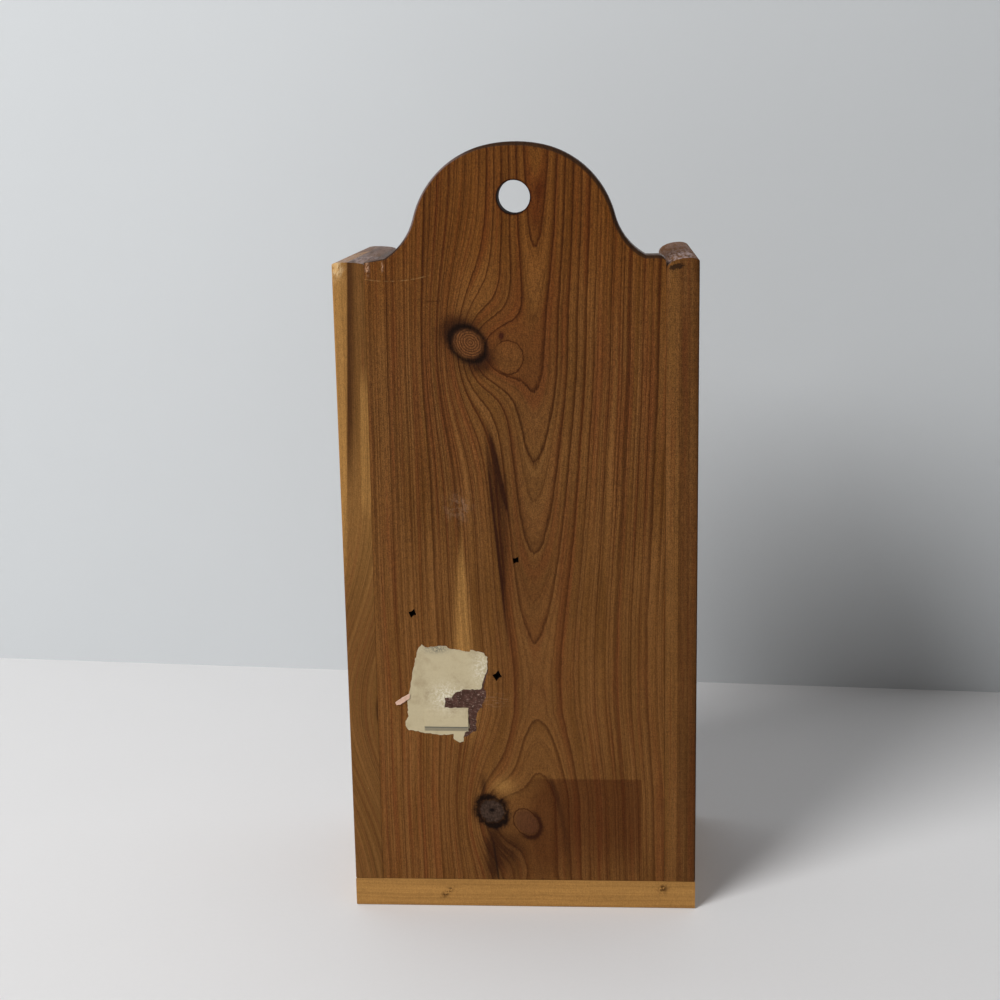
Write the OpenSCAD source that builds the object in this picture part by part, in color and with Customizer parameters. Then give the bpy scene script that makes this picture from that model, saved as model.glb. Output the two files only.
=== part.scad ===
// Wall match holder: a cedar box with an arched hanging back and a hinged lid set between its sides.
// Sizes are in millimetres. The front faces -Y, the wall side faces +Y and +Z is up.
// The origin lies under the middle of the outline, on the surface that the box stands on.

/* [Case] */
// Outside width of the box
case_w = 106; // [90:1:140]
// Depth of the side boards, from the wall side to the front
case_d = 73.5; // [60:0.5:110]
// Thickness of each side board
side_t = 9.5; // [7:0.5:14]
// Height of a side board at its edges, measured above the bottom board
side_h = 190; // [140:1:260]
// Rise of the rounded top of a side board
side_crown = 1.9; // [0.5:0.1:3.5]
// Thickness of the back board
back_t = 9.5; // [8:0.5:14]
// Thickness of the front board
front_t = 9.5; // [7:0.5:14]
// Thickness of the bottom board
bottom_t = 9.1; // [7:0.1:14]

/* [Hanging back] */
// Height of the back board's flat shoulders above the edges of the side boards
shoulder_up = 2.7; // [0:0.1:6]
// Rise of the arch above the shoulders
arch_rise = 32.5; // [28:0.5:37]
// Width of the arch across its two haunch circles
arch_w = 59.8; // [57:0.1:64]
// Radius of the arch at its crown
crown_r = 38; // [34:0.5:50]
// Radius of the arch at its two haunches
haunch_r = 27.8; // [24:0.1:29]
// Radius of the hollow flare between the arch and a shoulder
flare_r = 18.8; // [12:0.1:24]
// Depth of the flare circle's lowest point below the shoulder
flare_dip = 2.5; // [0:0.1:5]
// Diameter of the hanging hole
hole_d = 9.5; // [5:0.5:14]
// Height of the hanging hole's centre above the shoulders
hole_up = 17; // [12:0.5:22]

/* [Lid] */
// Thickness of the lid
lid_t = 8; // [7:0.5:12]
// Depth of the lid's top face below the edges of the side boards
lid_drop = 9.5; // [9:0.5:20]
// Overhang of the lid past the front board, for a finger
lid_lip = 5; // [2:0.5:10]
// Radius of the lid's rounded front edges
lid_nose_r = 3; // [1:0.25:3.25]
// Gap between the lid and each side board
lid_side_gap = 0.6; // [0.3:0.1:1.5]
// Gap between the lid and the back board
lid_back_gap = 0.8; // [0.4:0.1:1.5]

/* [Hinges] */
// Distance between the middles of the two hinges
hinge_spacing = 40; // [30:1:52]
// Width of a hinge along its pin
hinge_w = 18; // [14:0.5:24]
// Length of a leaf, from the pin's axis to its free edge
leaf_len = 9.5; // [8:0.25:11]
// Thickness of a leaf
leaf_t = 0.9; // [0.8:0.05:1.2]
// Outside diameter of a knuckle
barrel_d = 3.8; // [3.2:0.1:4.6]
// Gap between a knuckle and the wood beside it
barrel_gap = 0.4; // [0.3:0.05:0.6]
// Gap between neighbouring knuckles
knuckle_gap = 0.2; // [0.1:0.05:0.4]
// Gap between a knuckle and the other leaf's plate
notch_gap = 0.3; // [0.2:0.05:0.6]
// Diameter of the hinge pin
pin_d = 1.6; // [1.2:0.1:2]
// Running clearance all round the pin
pin_clearance = 0.05; // [0.02:0.01:0.1]
// Diameter of the pin's peened ends
pin_head_d = 2.6; // [2.2:0.1:3.2]
// Thickness of the pin's peened ends
pin_head_t = 0.5; // [0.3:0.1:1]

/* [Screws] */
// Distance between the two screws of one leaf
screw_spacing = 11; // [8:0.5:12]
// Shank diameter of a hinge screw
screw_d = 2; // [1.6:0.1:2.2]
// Diameter of a screw's countersunk head
screw_head_d = 3.6; // [3:0.1:3.7]
// Length of a screw
screw_len = 6.5; // [5:0.5:7]
// Width of the driver slot
slot_w = 0.5; // [0.3:0.1:0.8]
// Depth of the driver slot
slot_depth = 0.4; // [0.2:0.1:0.6]

/* [Nails] */
// Shank diameter of a nail
nail_d = 1.3; // [1:0.1:1.8]
// Diameter of a nail head
nail_head_d = 2.6; // [2:0.1:3.4]
// Thickness of a nail head
nail_head_t = 0.6; // [0.4:0.1:1]
// Length of a nail
nail_len = 24; // [18:1:30]
// Depth that a nail head is set below the wood's face
nail_set = 0.3; // [0:0.1:1]
// Nails in each joint between a side and the back or front board
side_nails = 3; // [2:1:5]
// Distance from a board's end to the first nail of a joint
nail_margin = 20; // [18:1:40]
// Distance between the two bottom nails of one board
bottom_pitch = 30; // [20:1:44]

/* [Striker] */
// Width of the striker strip
striker_w = 60; // [30:1:70]
// Height of the striker strip
striker_h = 18; // [10:1:30]
// Thickness of the striker strip
striker_t = 0.6; // [0.4:0.1:1]
// Height of the strip's lower edge above the bottom board
striker_up = 30; // [10:1:80]

/* [Hidden] */
$fn = 64;

// Left and right as seen from the front
LEFT = -1;
RIGHT = 1;

// Colours of the wood, the brass, the steel and the abrasive paper
HEARTWOOD = "#6b4022";
PALE_WOOD = "#9b6e37";
BRASS = "#b08d57";
STEEL = "#8c8780";
GRIT = "#4a3a34";

// Reach of a cut past the face that it opens
over = 1;
// Slack round a driven nail or screw, so that wood and metal meet without overlapping
driven_slack = 0.02;
// Length and blunt end of a nail's or a screw's point
point_len = 2;
point_d = 0.3;
// End play of a hinge pin under its peened ends
pin_end_play = 0.1;

// Case faces
back_y = (case_d + lid_lip) / 2;
front_y = back_y - case_d;
inner_w = case_w - 2 * side_t;
side_top = bottom_t + side_h;
lid_top = side_top - lid_drop;
front_h = lid_top - lid_t - bottom_t;
side_arc_r = (pow(side_t / 2, 2) + pow(side_crown, 2)) / (2 * side_crown);

// Arch: a crown circle, two haunch circles inside it and two flare circles outside them
shoulder_z = side_top + shoulder_up;
arch_top = shoulder_z + arch_rise;
crown_z = arch_top - crown_r;
haunch_x = arch_w / 2 - haunch_r;
haunch_z = crown_z + sqrt(pow(crown_r - haunch_r, 2) - pow(haunch_x, 2));
flare_z = shoulder_z - flare_dip + flare_r;
flare_x = haunch_x + sqrt(pow(haunch_r + flare_r, 2) - pow(flare_z - haunch_z, 2));
// Point where the flare ends: on the shoulder, or at the board's edge if that comes first
neck_x = min(inner_w / 2, flare_x - sqrt(pow(flare_r, 2) - pow(flare_r - flare_dip, 2)));
neck_z = flare_z - sqrt(pow(flare_r, 2) - pow(flare_x - neck_x, 2));
// Angles of the points where the outline passes from one circle to the next
neck_angle = atan2(neck_z - flare_z, neck_x - flare_x);
haunch_low_angle = atan2(flare_z - haunch_z, flare_x - haunch_x);
haunch_high_angle = atan2(haunch_z - crown_z, haunch_x);
// Steps along each arc of the outline
flare_steps = 14;
haunch_steps = 26;
crown_steps = 7;
hole_z = shoulder_z + hole_up;

// Hinge axis, clear of the lid's top face and of the back board's front face
axis_off = barrel_d / 2 + barrel_gap;
hinge_y = back_y - back_t - axis_off;
hinge_z = lid_top + axis_off;
notch = barrel_d / 2 + notch_gap;
knuckle_len = hinge_w / 3 - knuckle_gap;
barrel_len = hinge_w - knuckle_gap;
screw_head_t = (screw_head_d - screw_d) / 2;

lid_w = inner_w - 2 * lid_side_gap;

// Heights of the nails up a joint whose board stands this tall on the bottom board
function nail_rows(board_h) = [
    for (i = [0 : side_nails - 1])
        bottom_t + nail_margin + i * (board_h - 2 * nail_margin) / (side_nails - 1)
];

// Points round a circle between two angles, without the first point
function arc(centre, radius, from, to, steps) = [
    for (i = [1 : steps])
        let (angle = from + (to - from) * i / steps)
            centre + radius * [cos(angle), sin(angle)]
];

// Wire nail along +Z, with the outer face of its head at the origin
module nail() {
    cylinder(d = nail_head_d, h = nail_head_t);
    cylinder(d = nail_d, h = nail_len - point_len);
    translate([0, 0, nail_len - point_len])
        cylinder(d1 = nail_d, d2 = point_d, h = point_len);
}

// Hole that a nail fills, open to the face above its head
module nail_hole() {
    translate([0, 0, -nail_set - over])
        cylinder(d = nail_head_d + 2 * driven_slack, h = nail_set + over + nail_head_t + driven_slack);
    cylinder(d = nail_d + 2 * driven_slack, h = nail_len + driven_slack);
}

// Countersunk screw along +Z, with the flat of its head at the origin
module screw() {
    difference() {
        union() {
            cylinder(d1 = screw_head_d, d2 = screw_d, h = screw_head_t);
            cylinder(d = screw_d, h = screw_len - point_len);
            translate([0, 0, screw_len - point_len])
                cylinder(d1 = screw_d, d2 = point_d, h = point_len);
        }
        translate([-screw_head_d, -slot_w / 2, -over])
            cube([2 * screw_head_d, slot_w, slot_depth + over]);
    }
}

// Countersink and pilot hole that a screw fills
module screw_hole() {
    cylinder(d1 = screw_head_d + 2 * driven_slack, d2 = screw_d + 2 * driven_slack, h = screw_head_t);
    cylinder(d = screw_d + 2 * driven_slack, h = screw_len + driven_slack);
}

// Places of the nails through one side into the back and front boards
module at_side_nails(side) {
    joints = [[back_y - back_t / 2, side_h], [front_y + front_t / 2, front_h]];
    for (joint = joints, z = nail_rows(joint[1]))
        translate([side * (case_w / 2 - nail_set), joint[0], z])
            rotate([0, -side * 90, 0])
                children();
}

// Places of the nails up through the bottom board into the four walls
module at_bottom_nails() {
    for (a = [-1, 1], b = [-1, 1]) {
        translate([a * (case_w - side_t) / 2, (back_y + front_y + b * bottom_pitch) / 2, nail_set])
            children();
        translate([a * bottom_pitch / 2, b > 0 ? back_y - back_t / 2 : front_y + front_t / 2, nail_set])
            children();
    }
}

// Frame of one hinge, with the pin's axis along X
module at_hinge(side) {
    translate([side * hinge_spacing / 2, hinge_y, hinge_z])
        children();
}

// Turns a leaf that lies on the lid into the one that stands on the back board
module stand_up() {
    mirror([0, 1, 1])
        children();
}

// Places of the two screws of a leaf that lies on the lid
module at_leaf_screws() {
    for (side = [LEFT, RIGHT])
        translate([side * screw_spacing / 2, -(notch + leaf_len) / 2, leaf_t - axis_off])
            mirror([0, 0, 1])
                children();
}

// One knuckle with the tongue that ties it to the plate, counted from the middle knuckle
module knuckle(place) {
    translate([place * hinge_w / 3 - knuckle_len / 2, 0, 0]) {
        rotate([0, 90, 0])
            cylinder(d = barrel_d, h = knuckle_len);
        translate([0, -notch, -axis_off])
            cube([knuckle_len, notch, leaf_t]);
    }
}

// Hinge leaf that lies on the lid, with the knuckles at the given places
module leaf(places) {
    difference() {
        union() {
            translate([-hinge_w / 2, -leaf_len, -axis_off])
                cube([hinge_w, leaf_len - notch, leaf_t]);
            for (place = places)
                knuckle(place);
        }
        translate([-hinge_w, 0, 0])
            rotate([0, 90, 0])
                cylinder(d = pin_d + 2 * pin_clearance, h = 2 * hinge_w);
        at_leaf_screws()
            screw_hole();
    }
}

module hinge_back_leaf(side) {
    color(BRASS) at_hinge(side) stand_up() leaf([-1, 1]);
}

module hinge_lid_leaf(side) {
    color(BRASS) at_hinge(side) leaf([0]);
}

// Pin with a peened end outside each outer knuckle
module hinge_pin(side) {
    head_x = barrel_len / 2 + pin_end_play;
    color(BRASS)
        at_hinge(side)
            rotate([0, 90, 0]) {
                translate([0, 0, -head_x])
                    cylinder(d = pin_d, h = 2 * head_x);
                for (end = [-1, 1])
                    translate([0, 0, end * (head_x + pin_head_t / 2)])
                        cylinder(d = pin_head_d, h = pin_head_t, center = true);
            }
}

module hinge_back_screws(side) {
    color(BRASS) at_hinge(side) stand_up() at_leaf_screws() screw();
}

module hinge_lid_screws(side) {
    color(BRASS) at_hinge(side) at_leaf_screws() screw();
}

// Right half of the back board's outline, from its foot up to the top of the arch
function half_outline() = concat(
    [[inner_w / 2, bottom_t], [inner_w / 2, shoulder_z], [neck_x, neck_z]],
    arc([flare_x, flare_z], flare_r, neck_angle, haunch_low_angle - 180, flare_steps),
    arc([haunch_x, haunch_z], haunch_r, haunch_low_angle, haunch_high_angle, haunch_steps),
    arc([0, crown_z], crown_r, haunch_high_angle, 90, crown_steps)
);

// Outline of the back board, seen from the front
module back_outline() {
    half = half_outline();
    polygon(concat(half, [for (i = [len(half) - 2 : -1 : 0]) [-half[i][0], half[i][1]]]));
}

module back_board() {
    color(HEARTWOOD)
        difference() {
            translate([0, back_y, 0])
                rotate([90, 0, 0])
                    linear_extrude(back_t)
                        back_outline();
            translate([0, back_y + over, hole_z])
                rotate([90, 0, 0])
                    cylinder(d = hole_d, h = back_t + 2 * over);
            at_bottom_nails()
                nail_hole();
            for (side = [LEFT, RIGHT]) {
                at_side_nails(side)
                    nail_hole();
                at_hinge(side) stand_up() at_leaf_screws()
                    screw_hole();
            }
        }
}

// Section of a side board, with its shallow rounded top
module side_section() {
    square([side_t, side_h]);
    intersection() {
        square([side_t, side_h + side_crown]);
        translate([side_t / 2, side_h + side_crown - side_arc_r])
            circle(r = side_arc_r);
    }
}

module side_board(side) {
    color(HEARTWOOD)
        difference() {
            translate([side * (case_w - side_t) / 2 - side_t / 2, back_y, bottom_t])
                rotate([90, 0, 0])
                    linear_extrude(case_d)
                        side_section();
            at_side_nails(side)
                nail_hole();
            at_bottom_nails()
                nail_hole();
        }
}

module front_board() {
    color(HEARTWOOD)
        difference() {
            translate([-inner_w / 2, front_y, bottom_t])
                cube([inner_w, front_t, front_h]);
            at_bottom_nails()
                nail_hole();
            for (side = [LEFT, RIGHT])
                at_side_nails(side)
                    nail_hole();
        }
}

module bottom_board() {
    color(PALE_WOOD)
        difference() {
            translate([-case_w / 2, front_y, 0])
                cube([case_w, case_d, bottom_t]);
            at_bottom_nails()
                nail_hole();
        }
}

// Section of the lid across its depth, with its rounded front edges
module lid_section() {
    lid_front = front_y - lid_lip;
    lid_back = back_y - back_t - lid_back_gap;
    lid_bottom = lid_top - lid_t;
    translate([lid_front + lid_nose_r, lid_bottom])
        square([lid_back - lid_front - lid_nose_r, lid_t]);
    translate([lid_front, lid_bottom + lid_nose_r])
        square([lid_back - lid_front, lid_t - 2 * lid_nose_r]);
    for (z = [lid_bottom + lid_nose_r, lid_top - lid_nose_r])
        translate([lid_front + lid_nose_r, z])
            circle(r = lid_nose_r);
}

module lid() {
    color(HEARTWOOD)
        difference() {
            translate([-lid_w / 2, 0, 0])
                rotate([90, 0, 90])
                    linear_extrude(lid_w)
                        lid_section();
            for (side = [LEFT, RIGHT])
                at_hinge(side) at_leaf_screws()
                    screw_hole();
        }
}

// Abrasive paper glued to the front board
module striker_strip() {
    color(GRIT)
        translate([-striker_w / 2, front_y - striker_t, bottom_t + striker_up])
            cube([striker_w, striker_t, striker_h]);
}

module side_nail_group(side) {
    color(STEEL) at_side_nails(side) nail();
}

module bottom_nails() {
    color(STEEL) at_bottom_nails() nail();
}

back_board();
side_board(LEFT);  // left_side
side_board(RIGHT);  // right_side
front_board();
bottom_board();
lid();
striker_strip();
hinge_back_leaf(LEFT);  // left_hinge_back_leaf
hinge_back_leaf(RIGHT);  // right_hinge_back_leaf
hinge_lid_leaf(LEFT);  // left_hinge_lid_leaf
hinge_lid_leaf(RIGHT);  // right_hinge_lid_leaf
hinge_pin(LEFT);  // left_hinge_pin
hinge_pin(RIGHT);  // right_hinge_pin
hinge_back_screws(LEFT);  // left_hinge_back_screws
hinge_back_screws(RIGHT);  // right_hinge_back_screws
hinge_lid_screws(LEFT);  // left_hinge_lid_screws
hinge_lid_screws(RIGHT);  // right_hinge_lid_screws
side_nail_group(LEFT);  // left_side_nails
side_nail_group(RIGHT);  // right_side_nails
bottom_nails();
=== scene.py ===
import math
from collections import namedtuple
from functools import partial, partialmethod

import bmesh
import bpy
import numpy as np
from mathutils import Matrix, Quaternion, Vector


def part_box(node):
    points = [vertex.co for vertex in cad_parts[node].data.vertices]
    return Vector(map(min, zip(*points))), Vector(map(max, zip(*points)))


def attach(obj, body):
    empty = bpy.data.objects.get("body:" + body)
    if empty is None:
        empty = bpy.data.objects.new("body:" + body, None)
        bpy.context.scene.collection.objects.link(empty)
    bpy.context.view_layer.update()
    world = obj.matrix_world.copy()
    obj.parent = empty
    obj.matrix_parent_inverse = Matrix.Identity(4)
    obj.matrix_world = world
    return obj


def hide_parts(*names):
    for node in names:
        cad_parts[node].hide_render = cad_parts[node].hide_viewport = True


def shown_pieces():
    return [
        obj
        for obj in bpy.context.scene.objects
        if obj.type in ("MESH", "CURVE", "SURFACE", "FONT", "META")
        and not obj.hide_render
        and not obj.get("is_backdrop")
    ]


# Looks of a wall match holder: a red cedar box with an arched hanging back and a hinged lid.
# Lengths below are millimetres in the part's own frame. The view is from behind, so u, which
# runs to the viewer's right across the back, is -x.
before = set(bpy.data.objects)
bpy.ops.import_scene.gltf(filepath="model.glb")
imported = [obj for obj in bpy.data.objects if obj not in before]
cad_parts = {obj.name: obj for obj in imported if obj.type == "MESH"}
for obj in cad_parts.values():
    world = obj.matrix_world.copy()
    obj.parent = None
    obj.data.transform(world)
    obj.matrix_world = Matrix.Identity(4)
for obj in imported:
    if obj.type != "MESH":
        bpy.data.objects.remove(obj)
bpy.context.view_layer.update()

MM = 0.001


# The part's own sizes

def box_mm(node):
    """Lowest and highest corner of a node, in millimetres."""
    low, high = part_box(node)
    return low / MM, high / MM


BACK_LOW, BACK_HIGH = box_mm("back_board")
SIDE_LOW, SIDE_HIGH = box_mm("right_side")
FRONT_LOW, FRONT_HIGH = box_mm("front_board")
BOTTOM_LOW, BOTTOM_HIGH = box_mm("bottom_board")
LID_LOW, LID_HIGH = box_mm("lid")
STRIKER_LOW, STRIKER_HIGH = box_mm("striker_strip")

WALL_Y = BACK_HIGH.y
FOOT_Z = BACK_LOW.z
ARCH_TOP = BACK_HIGH.z
INNER_X = BACK_HIGH.x
OUTER_X = SIDE_HIGH.x
SIDE_T = OUTER_X - INNER_X

# Arch of the back board: rise over the shoulders, width, and the radii of its circles
ARCH_RISE = 32.5
ARCH_W = 59.8
CROWN_R = 38.0
HAUNCH_R = 27.8
FLARE_R = 18.8
FLARE_DIP = 2.5
HOLE_R = 4.75
HOLE_UP = 17.0
HOLE_EASE = 0.15
SHOULDER_Z = ARCH_TOP - ARCH_RISE
HOLE_Z = SHOULDER_Z + HOLE_UP

# Hand work: the worn shoulder, the leaning seam and the eased edges
SHOULDER_WEAR = 1.0
CORNER_WEAR = 2.2
SEAM_LEAN = 0.9
SEAM_EASE = 0.16
CASE_EASE = 0.5
# The arch is rounded more to the viewer's right. The last three are lengths of the change
ARCH_EASE = 1.35
ARCH_EASE_LEFT = 0.55
ARCH_EASE_TURN = 20.0
ARCH_EASE_START = 1.5
ARCH_EASE_RISE = 2.0
# Fall of each side's crowned top to its inner and outer edge, and where it peaks across the board
CROWNS = (3.2, 1.1)
WORN_CROWNS = (0.9, 0.7)
CROWN_PEAK = 0.7
LID_NOSE_R = 3.0
LID_CHAMFER = 0.5

# Nails: heads are set below the wood, in round recesses
NAIL_HEAD_D = 2.64
NAIL_RECESS = 0.95

# Small old pin holes in the back: u, z, size, turn in degrees
PIN_HOLES = [
    (-32.5, 95.5, 1.35, 20),
    (-1.0, 112.0, 1.2, 35),
    (-7.2, 75.8, 1.6, 10),
]
# Their ragged mouth, as shares of the size, and their floors as (depth, share of the mouth)
PIN_HOLE_REACH = [1.0, 0.6, 1.25, 0.7, 0.95, 0.55, 1.1, 0.75]
PIN_HOLE_FLOORS = [(0.35, 0.85), (2.5, 0.55)]

# Steps of curved edges, and the longest step of straight ones
EASE_STEPS = 5
FLARE_STEPS = 24
HAUNCH_STEPS = 44
CROWN_STEPS = 12
CORNER_STEPS = 6
HOLE_STEPS = 48
NAIL_STEPS = 20
NOSE_STEPS = 8
BOARD_EDGE = 12.0
SIDE_EDGE = 8.0
GRIT_EDGE = 1.2
TORN_EDGE = 0.8
# Angle in degrees from which an edge is sharp, and the distance that counts as none
SHARP_ANGLE = 40.0
CLOSE = 0.01


# Mesh tools

def arc(centre, radius, start, end, steps):
    """Points round a circle from one angle to another, without the first."""
    found = []
    for i in range(1, steps + 1):
        angle = start + (end - start) * i / steps
        found.append(Vector(centre) + radius * Vector((math.cos(angle), math.sin(angle))))
    return found


def circle(centre, radius, steps):
    return arc(centre, radius, 0.0, 2 * math.pi, steps)


def rectangle(low, high):
    return [Vector((low[0], low[1])), Vector((high[0], low[1])),
            Vector((high[0], high[1])), Vector((low[0], high[1]))]


def divided(points, longest=BOARD_EDGE):
    """The closed outline with its long edges cut into equal steps."""
    found = []
    for here, there in zip(points, points[1:] + points[:1]):
        steps = max(1, math.ceil((there - here).length / longest))
        found += [here.lerp(there, i / steps) for i in range(steps)]
    return found


def inward(points):
    """The mitred step that moves each point of a counterclockwise outline in by one."""
    steps = []
    for before, here, after in zip(points[-1:] + points[:-1], points, points[1:] + points[:1]):
        first = (here - before).normalized()
        second = (after - here).normalized()
        turn_in = Vector((-first.y, first.x)) + Vector((-second.y, second.x))
        steps.append(turn_in / (1 + first.dot(second)))
    return steps


def facing(axis):
    """Where the points of a plate lie that faces along an axis: x is 0, y is 1 and z is 2."""
    def place(a, b, height):
        spot = [a, b]
        spot.insert(axis, height)
        return Vector(spot)
    return place


def band(bm, first, second):
    """Faces between two rings of as many corners."""
    for i in range(len(first)):
        bm.faces.new((first[i - 1], first[i], second[i], second[i - 1]))


class Plate:
    """A board as a mesh: an eased outline, with holes through it and pits in its faces."""

    def __init__(self, place):
        self.place = place
        self.bm = bmesh.new()
        self.rim = self.bm.verts.layers.float.new("rim")
        # The second layer marks the floors of dents, where the material paints shade.
        self.pit_shade = self.bm.verts.layers.float.new("pit_shade")
        self.rims = {"low": [], "high": []}

    def ring(self, points, heights, rim=0.0, pit_shade=0.0):
        verts = []
        for point, height in zip(points, heights):
            vert = self.bm.verts.new(self.place(point.x, point.y, height) * MM)
            vert[self.rim] = rim
            vert[self.pit_shade] = pit_shade
            verts.append(vert)
        return verts

    def wall(self, points, low, high, ease_low, ease_high=None, into=1.0):
        """The wall round an outline. An ease gives a point's inset and depth at the faces."""
        steps = inward(points)
        turns = range(EASE_STEPS + 1)
        made = []
        ends = ((ease_high or ease_low, high, -1.0, turns), (ease_low, low, 1.0, turns[::-1]))
        for ease, face, side, order in ends:
            eases = [ease(point) for point in points]
            for k in order:
                turn = k / EASE_STEPS * math.pi / 2
                inset = into * (1 - math.sin(turn))
                depth = side * (1 - math.cos(turn))
                moved = [p + s * e[0] * inset for p, s, e in zip(points, steps, eases)]
                heights = [face + e[1] * depth for e in eases]
                made.append(self.ring(moved, heights, float(k > 0)))
        for first, second in zip(made, made[1:]):
            band(self.bm, first, second)
        self.rims["high"].append(made[0])
        self.rims["low"].append(made[-1])

    def dent(self, face, points, floors, height, down):
        """A blind hole in a face. floors lists (depth, share of the mouth's size)."""
        middle = sum(points, Vector((0, 0))) / len(points)
        mouth = self.ring(points, [height] * len(points))
        self.rims[face].append(mouth)
        for depth, share in floors:
            shrunk = [middle.lerp(p, share) for p in points]
            lower = self.ring(shrunk, [height + down * depth] * len(points), pit_shade=1.0)
            band(self.bm, mouth, lower)
            mouth = lower
        self.bm.faces.new(mouth)

    def close(self):
        """Fills both faces between outline and holes."""
        for loops in self.rims.values():
            edges = []
            for loop in loops:
                for i in range(len(loop)):
                    edge = self.bm.edges.get((loop[i - 1], loop[i]))
                    edges.append(edge or self.bm.edges.new((loop[i - 1], loop[i])))
            bmesh.ops.triangle_fill(self.bm, use_beauty=True, edges=edges)
            for edge in edges:
                edge.smooth = False
        bmesh.ops.recalc_face_normals(self.bm, faces=self.bm.faces)
        return self.bm


def placed(name, data):
    """A new object in the scene."""
    made = bpy.data.objects.new(name, data)
    bpy.context.scene.collection.objects.link(made)
    return made


def piece(bm, name, body, material, replaces=()):
    """Makes a mesh a piece that rides on a body."""
    mesh = bpy.data.meshes.new(name)
    bm.to_mesh(mesh)
    bm.free()
    mesh.shade_smooth()
    sharp = [edge.use_edge_sharp for edge in mesh.edges]
    mesh.set_sharp_from_angle(angle=math.radians(SHARP_ANGLE))
    for edge, keep in zip(mesh.edges, sharp):
        edge.use_edge_sharp = edge.use_edge_sharp or keep
    mesh.materials.append(material)
    made = placed(name, mesh)
    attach(made, body)
    if replaces:
        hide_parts(*replaces)


# Shader tools

class Wire:
    """A number or colour that varies over a surface. Sums and products make Math nodes."""

    def __init__(self, socket):
        self.socket = socket
        self.tree = socket.id_data

    def combine(self, kind, other):
        return op(kind, self, other)

    def __rsub__(self, other):
        return op("SUBTRACT", other, self)

    def __neg__(self):
        return self * -1.0

    __add__ = __radd__ = partialmethod(combine, "ADD")
    __sub__ = partialmethod(combine, "SUBTRACT")
    __mul__ = __rmul__ = partialmethod(combine, "MULTIPLY")
    __truediv__ = partialmethod(combine, "DIVIDE")
    __pow__ = partialmethod(combine, "POWER")


def feed(socket, value):
    """Links a wire to a socket, or sets a fixed value on it."""
    if isinstance(value, Wire):
        value.tree.links.new(value.socket, socket)
    else:
        socket.default_value = value


def fed_node(kind, values):
    """A new node whose first inputs take the values. One at least is a wire."""
    tree = next(v.tree for v in values if isinstance(v, Wire))
    node = tree.nodes.new(kind)
    for socket, value in zip(node.inputs, values):
        feed(socket, value)
    return node


def op(kind, *values):
    node = fed_node("ShaderNodeMath", values)
    node.operation = kind
    return Wire(node.outputs[0])


lesser = partial(op, "MINIMUM")
greater = partial(op, "MAXIMUM")
root = partial(op, "SQRT")
exp = partial(op, "EXPONENT")


def within(a, limit):
    """a, kept between 0 and a limit."""
    return lesser(greater(a, 0.0), limit)


def square(a):
    return a * a


def either_side(a, below, above):
    """a divided by one length below 0 and by another above it."""
    return lesser(a, 0.0) / below + greater(a, 0.0) / above


def thread(gap, width):
    """One on a line, and nothing from a gap of about two widths."""
    return exp(-square(gap / width))


def bell(u, z, at, reach):
    """One in the middle of a soft round patch, and nothing outside it."""
    return exp(-(square((u - at[0]) / reach[0]) + square((z - at[1]) / reach[1])))


def patches(u, z, marks):
    """The sum of soft patches, each with its weight, middle and reach."""
    total = 0.0
    for weight, at, reach in marks:
        total = weight * bell(u, z, at, reach) + total
    return total


def step(value, start, end):
    """Rises smoothly from 0 to 1 as the value goes from start to end."""
    node = fed_node("ShaderNodeMapRange", (value, start, end))
    node.interpolation_type = "SMOOTHSTEP"
    return Wire(node.outputs["Result"])


def window(value, start, end, soft):
    """One between start and end, with soft edges."""
    return step(value, start - soft, start + soft) * step(value, end + soft, end - soft)


def noise(at, detail=2.0, rough=0.5):
    """Smooth noise from -0.5 to 0.5, with features about one unit long."""
    place = fed_node("ShaderNodeCombineXYZ", at).outputs[0]
    node = fed_node("ShaderNodeTexNoise", (Wire(place),))
    node.inputs["Scale"].default_value = 1.0
    node.inputs["Detail"].default_value = detail
    node.inputs["Roughness"].default_value = rough
    return Wire(node.outputs[0]) - 0.5


def chance(value):
    """A fixed random number from 0 to 1 for each whole value."""
    node = value.tree.nodes.new("ShaderNodeTexWhiteNoise")
    node.noise_dimensions = "1D"
    feed(node.inputs["W"], value)
    return Wire(node.outputs["Value"])


def paint(red, green, blue):
    """A screen colour, 0 to 255, as the linear colour that nodes take."""
    linear = []
    for level in (red, green, blue):
        share = level / 255
        linear.append(share / 12.92 if share <= 0.04045 else ((share + 0.055) / 1.055) ** 2.4)
    return (*linear, 1.0)


def blend(first, second, share, how="MIX"):
    """A colour between two, or the first seen through the second if how is MULTIPLY."""
    node = share.tree.nodes.new("ShaderNodeMix")
    node.data_type = "RGBA"
    node.blend_type = how
    for socket, value in zip((0, 6, 7), (share, first, second)):
        feed(node.inputs[socket], value)
    return Wire(node.outputs[2])


def lit(colour, level):
    """A colour made lighter or darker by a wire."""
    node = level.tree.nodes.new("ShaderNodeVectorMath")
    node.operation = "SCALE"
    feed(node.inputs[0], colour if isinstance(colour, Wire) else colour[:3])
    feed(node.inputs["Scale"], level)
    return Wire(node.outputs[0])


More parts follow.
